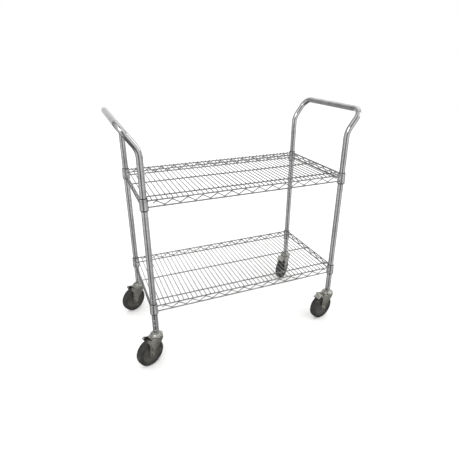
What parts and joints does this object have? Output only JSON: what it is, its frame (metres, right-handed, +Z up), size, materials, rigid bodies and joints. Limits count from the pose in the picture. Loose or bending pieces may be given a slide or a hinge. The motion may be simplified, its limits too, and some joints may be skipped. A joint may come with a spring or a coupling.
{
  "type": "wire shelf cart",
  "caption": "Rolling wire shelf cart: grooved tube end frames flared into push handles, wire deck shelves wedged on with split sleeves, and swivel casters with brakes at one end.",
  "frame": {"origin": "on the floor, midway between the four posts", "axes": "+X along the long side towards the braked casters, +Y to the back, +Z up"},
  "size_m": [1.0449, 0.5127, 1.0278],
  "materials": {
    "tube_chrome": "bright chrome on steel tube",
    "wire_chrome": "bright chrome on welded wire",
    "collar_chrome": "chrome on pressed steel",
    "sleeve_plastic": "matt black moulded plastic",
    "zinc": "zinc plated pressed steel",
    "bearing": "polished steel balls",
    "hub": "moulded dark grey wheel centre",
    "tyre": "solid dark rubber"
  },
  "bodies": {
    "cart": {"end_frame_left": "tube_chrome", "end_frame_right": "tube_chrome", "upper_deck_wires": "wire_chrome", "upper_ribs": "wire_chrome", "upper_truss_front": "wire_chrome", "upper_truss_back": "wire_chrome", "upper_truss_left": "wire_chrome", "upper_truss_right": "wire_chrome", "upper_collars": "collar_chrome", "upper_sleeves": "sleeve_plastic", "lower_deck_wires": "wire_chrome", "lower_ribs": "wire_chrome", "lower_truss_front": "wire_chrome", "lower_truss_back": "wire_chrome", "lower_truss_left": "wire_chrome", "lower_truss_right": "wire_chrome", "lower_collars": "collar_chrome", "lower_sleeves": "sleeve_plastic", "post_inserts": "zinc", "caster_stems": "zinc", "swivel_caps": "zinc", "swivel_balls": "bearing"},
    "caster_front_left": {"fork_front_left": "zinc", "axle_front_left": "zinc", "nut_front_left": "zinc", "bush_front_left": "zinc"},
    "wheel_front_left": {"hub_front_left": "hub", "tyre_front_left": "tyre"},
    "caster_back_left": {"fork_back_left": "zinc", "axle_back_left": "zinc", "nut_back_left": "zinc", "bush_back_left": "zinc"},
    "wheel_back_left": {"hub_back_left": "hub", "tyre_back_left": "tyre"},
    "caster_front_right": {"fork_front_right": "zinc", "axle_front_right": "zinc", "nut_front_right": "zinc", "bush_front_right": "zinc", "brake_pin_front_right": "zinc"},
    "wheel_front_right": {"hub_front_right": "hub", "tyre_front_right": "tyre"},
    "pedal_front_right": {"brake_pedal_front_right": "zinc"},
    "caster_back_right": {"fork_back_right": "zinc", "axle_back_right": "zinc", "nut_back_right": "zinc", "bush_back_right": "zinc", "brake_pin_back_right": "zinc"},
    "wheel_back_right": {"hub_back_right": "hub", "tyre_back_right": "tyre"},
    "pedal_back_right": {"brake_pedal_back_right": "zinc"}
  },
  "joints": [
    {"name": "swivel_front_left", "type": "hinge", "parent": "cart", "child": "caster_front_left", "pos_m": [-0.436, -0.214, 0.13], "axis": [0, 0, 1], "continuous": true},
    {"name": "roll_front_left", "type": "hinge", "parent": "caster_front_left", "child": "wheel_front_left", "pos_m": [-0.47225, -0.2309, 0.0625], "axis": [0.4226, -0.9063, 0], "continuous": true},
    {"name": "swivel_back_left", "type": "hinge", "parent": "cart", "child": "caster_back_left", "pos_m": [-0.436, 0.214, 0.13], "axis": [0, 0, 1], "continuous": true},
    {"name": "roll_back_left", "type": "hinge", "parent": "caster_back_left", "child": "wheel_back_left", "pos_m": [-0.47132, 0.19522, 0.0625], "axis": [0.4695, -0.8829, 0], "continuous": true},
    {"name": "swivel_front_right", "type": "hinge", "parent": "cart", "child": "caster_front_right", "pos_m": [0.436, -0.214, 0.13], "axis": [0, 0, 1], "continuous": true},
    {"name": "roll_front_right", "type": "hinge", "parent": "caster_front_right", "child": "wheel_front_right", "pos_m": [0.39703, -0.223, 0.0625], "axis": [0.225, -0.9744, 0], "continuous": true},
    {"name": "brake_front_right", "type": "hinge", "parent": "caster_front_right", "child": "pedal_front_right", "pos_m": [0.38533, -0.2257, 0.131], "axis": [0.225, -0.9744, 0], "range_deg": [0, 12.5]},
    {"name": "swivel_back_right", "type": "hinge", "parent": "cart", "child": "caster_back_right", "pos_m": [0.436, 0.214, 0.13], "axis": [0, 0, 1], "continuous": true},
    {"name": "roll_back_right", "type": "hinge", "parent": "caster_back_right", "child": "wheel_back_right", "pos_m": [0.40405, 0.18993, 0.0625], "axis": [0.6018, -0.7986, 0], "continuous": true},
    {"name": "brake_back_right", "type": "hinge", "parent": "caster_back_right", "child": "pedal_back_right", "pos_m": [0.39447, 0.18271, 0.131], "axis": [0.6018, -0.7986, 0], "range_deg": [0, 12.5]}
  ]
}
